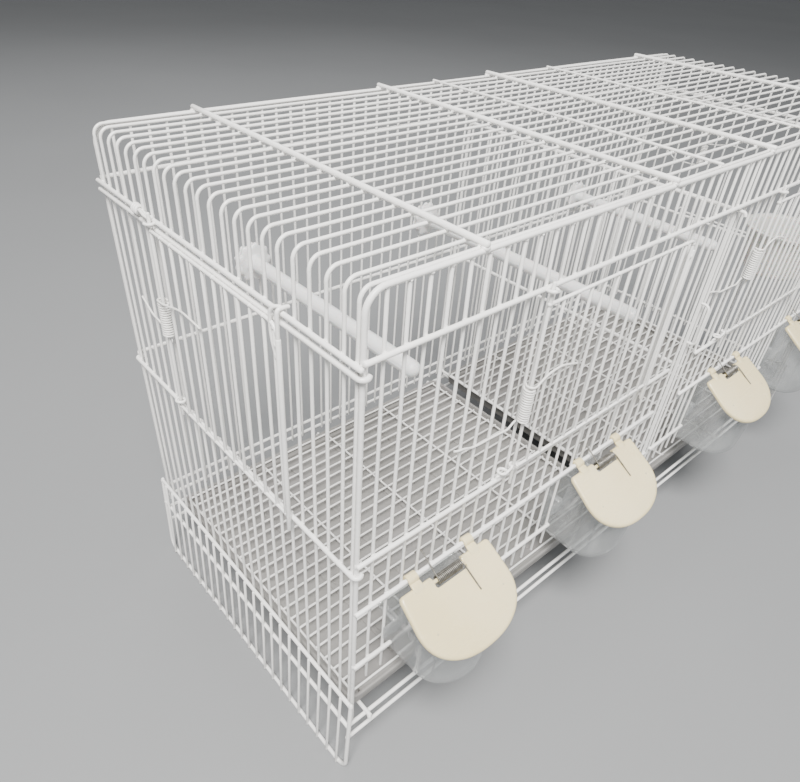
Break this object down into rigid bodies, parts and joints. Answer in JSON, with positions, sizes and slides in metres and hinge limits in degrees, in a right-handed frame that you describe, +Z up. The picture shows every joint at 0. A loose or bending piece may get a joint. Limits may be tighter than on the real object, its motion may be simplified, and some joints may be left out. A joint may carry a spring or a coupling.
{
  "type": "bird breeding cage",
  "caption": "Two-compartment wire breeding cage for small birds with front and end doors, outside feeders with sprung lids, divider, trays with floor grilles, perches and a nest cup",
  "frame": {"origin": "centre of the bounding box at floor level", "axes": "+X along the length to the right as seen from the front, +Y from the front to the back, +Z up"},
  "size_m": [0.719, 0.3354, 0.4034],
  "materials": {
    "wire": "white powder-coated steel wire",
    "door_spring": "white coated spring wire",
    "tray": "grey-beige moulded plastic",
    "lid": "ivory moulded plastic, satin",
    "cup": "clear moulded plastic",
    "spring_steel": "bare spring steel",
    "perch": "white moulded plastic",
    "nest": "translucent white plastic"
  },
  "bodies": {
    "root": {"top_grille": "wire", "left_end_grille": "wire", "right_end_grille": "wire", "front_grille": "wire", "back_grille": "wire", "left_skirt": "wire", "right_skirt": "wire", "base_front_rails": "wire", "base_back_rails": "wire", "tray_runners": "wire", "left_door_spring": "door_spring", "right_door_spring": "door_spring", "front_door_1_spring": "door_spring", "front_door_2_spring": "door_spring", "perch_nut_1": "perch", "perch_nut_2": "perch", "perch_nut_3": "perch", "nest_hanger": "wire"},
    "divider": {"divider": "wire"},
    "left_door": {"left_door": "wire", "left_door_spring_leg": "door_spring"},
    "right_door": {"right_door": "wire", "right_door_spring_leg": "door_spring"},
    "front_door_1": {"front_door_1": "wire", "front_door_1_spring_leg": "door_spring"},
    "front_door_2": {"front_door_2": "wire", "front_door_2_spring_leg": "door_spring"},
    "tray_1": {"tray_1": "tray"},
    "tray_2": {"tray_2": "tray"},
    "floor_grille_1": {"floor_grille_1": "wire"},
    "floor_grille_2": {"floor_grille_2": "wire"},
    "nest_cup": {"nest_cup": "nest"},
    "feeder_lid_1": {"feeder_lid_1": "lid", "lid_spring_1": "spring_steel"},
    "feeder_cup_1": {"feeder_cup_1": "cup"},
    "feeder_lid_2": {"feeder_lid_2": "lid", "lid_spring_2": "spring_steel"},
    "feeder_cup_2": {"feeder_cup_2": "cup"},
    "feeder_lid_3": {"feeder_lid_3": "lid", "lid_spring_3": "spring_steel"},
    "feeder_cup_3": {"feeder_cup_3": "cup"},
    "feeder_lid_4": {"feeder_lid_4": "lid", "lid_spring_4": "spring_steel"},
    "feeder_cup_4": {"feeder_cup_4": "cup"},
    "perch_1": {"perch_1": "perch"},
    "perch_2": {"perch_2": "perch"},
    "perch_3": {"perch_3": "perch"}
  },
  "joints": [
    {"name": "left_door_hinge", "type": "hinge", "parent": "root", "child": "left_door", "pos_m": [-0.3553, 0.08177, 0.3], "axis": [0, 0, -1], "range_deg": [0, 100], "stiffness_Nm_per_rad": 0.02, "springref_deg": -22.92},
    {"name": "right_door_hinge", "type": "hinge", "parent": "root", "child": "right_door", "pos_m": [0.3553, 0.08177, 0.3], "axis": [0, 0, 1], "range_deg": [0, 100], "stiffness_Nm_per_rad": 0.02, "springref_deg": -22.92},
    {"name": "front_door_1_hinge", "type": "hinge", "parent": "root", "child": "front_door_1", "pos_m": [-0.225, -0.11728, 0.3], "axis": [0, 0, -1], "range_deg": [0, 100], "stiffness_Nm_per_rad": 0.02, "springref_deg": -22.92},
    {"name": "front_door_2_hinge", "type": "hinge", "parent": "root", "child": "front_door_2", "pos_m": [0.0625, -0.11728, 0.3], "axis": [0, 0, -1], "range_deg": [0, 100], "stiffness_Nm_per_rad": 0.02, "springref_deg": -22.92},
    {"name": "feeder_lid_1_hinge", "type": "hinge", "parent": "root", "child": "feeder_lid_1", "pos_m": [-0.28125, -0.11398, 0.1875], "axis": [-1, 0, 0], "range_deg": [0, 80], "stiffness_Nm_per_rad": 0.01, "springref_deg": -28.65},
    {"name": "feeder_cup_1_slide", "type": "slide", "parent": "root", "child": "feeder_cup_1", "axis": [0, -0.8387, -0.5446], "range_m": [0, 0.026]},
    {"name": "feeder_lid_2_hinge", "type": "hinge", "parent": "root", "child": "feeder_lid_2", "pos_m": [-0.10625, -0.11398, 0.1875], "axis": [-1, 0, 0], "range_deg": [0, 80], "stiffness_Nm_per_rad": 0.01, "springref_deg": -28.65},
    {"name": "feeder_cup_2_slide", "type": "slide", "parent": "root", "child": "feeder_cup_2", "axis": [0, -0.8387, -0.5446], "range_m": [0, 0.026]},
    {"name": "feeder_lid_3_hinge", "type": "hinge", "parent": "root", "child": "feeder_lid_3", "pos_m": [0.10625, -0.11398, 0.1875], "axis": [-1, 0, 0], "range_deg": [0, 80], "stiffness_Nm_per_rad": 0.01, "springref_deg": -28.65},
    {"name": "feeder_cup_3_slide", "type": "slide", "parent": "root", "child": "feeder_cup_3", "axis": [0, -0.8387, -0.5446], "range_m": [0, 0.026]},
    {"name": "feeder_lid_4_hinge", "type": "hinge", "parent": "root", "child": "feeder_lid_4", "pos_m": [0.28125, -0.11398, 0.1875], "axis": [-1, 0, 0], "range_deg": [0, 80], "stiffness_Nm_per_rad": 0.01, "springref_deg": -28.65},
    {"name": "feeder_cup_4_slide", "type": "slide", "parent": "root", "child": "feeder_cup_4", "axis": [0, -0.8387, -0.5446], "range_m": [0, 0.026]},
    {"name": "tray_1_slide", "type": "slide", "parent": "root", "child": "tray_1", "axis": [0, -1, 0], "range_m": [0, 0.25]},
    {"name": "floor_grille_1_lift", "type": "slide", "parent": "tray_1", "child": "floor_grille_1", "axis": [0, 0, 1], "range_m": [0, 0.015]},
    {"name": "tray_2_slide", "type": "slide", "parent": "root", "child": "tray_2", "axis": [0, -1, 0], "range_m": [0, 0.25]},
    {"name": "floor_grille_2_lift", "type": "slide", "parent": "tray_2", "child": "floor_grille_2", "axis": [0, 0, 1], "range_m": [0, 0.015]},
    {"name": "divider_slide", "type": "slide", "parent": "root", "child": "divider", "axis": [0, -1, 0], "range_m": [0, 0.25]},
    {"name": "perch_1_pull", "type": "slide", "parent": "root", "child": "perch_1", "axis": [0, -1, 0], "range_m": [0, 0.012]},
    {"name": "perch_2_pull", "type": "slide", "parent": "root", "child": "perch_2", "axis": [0, -1, 0], "range_m": [0, 0.012]},
    {"name": "perch_3_pull", "type": "slide", "parent": "root", "child": "perch_3", "axis": [0, -1, 0], "range_m": [0, 0.012]},
    {"name": "nest_cup_lift", "type": "slide", "parent": "root", "child": "nest_cup", "axis": [0, 0, 1], "range_m": [0, 0.04]}
  ]
}
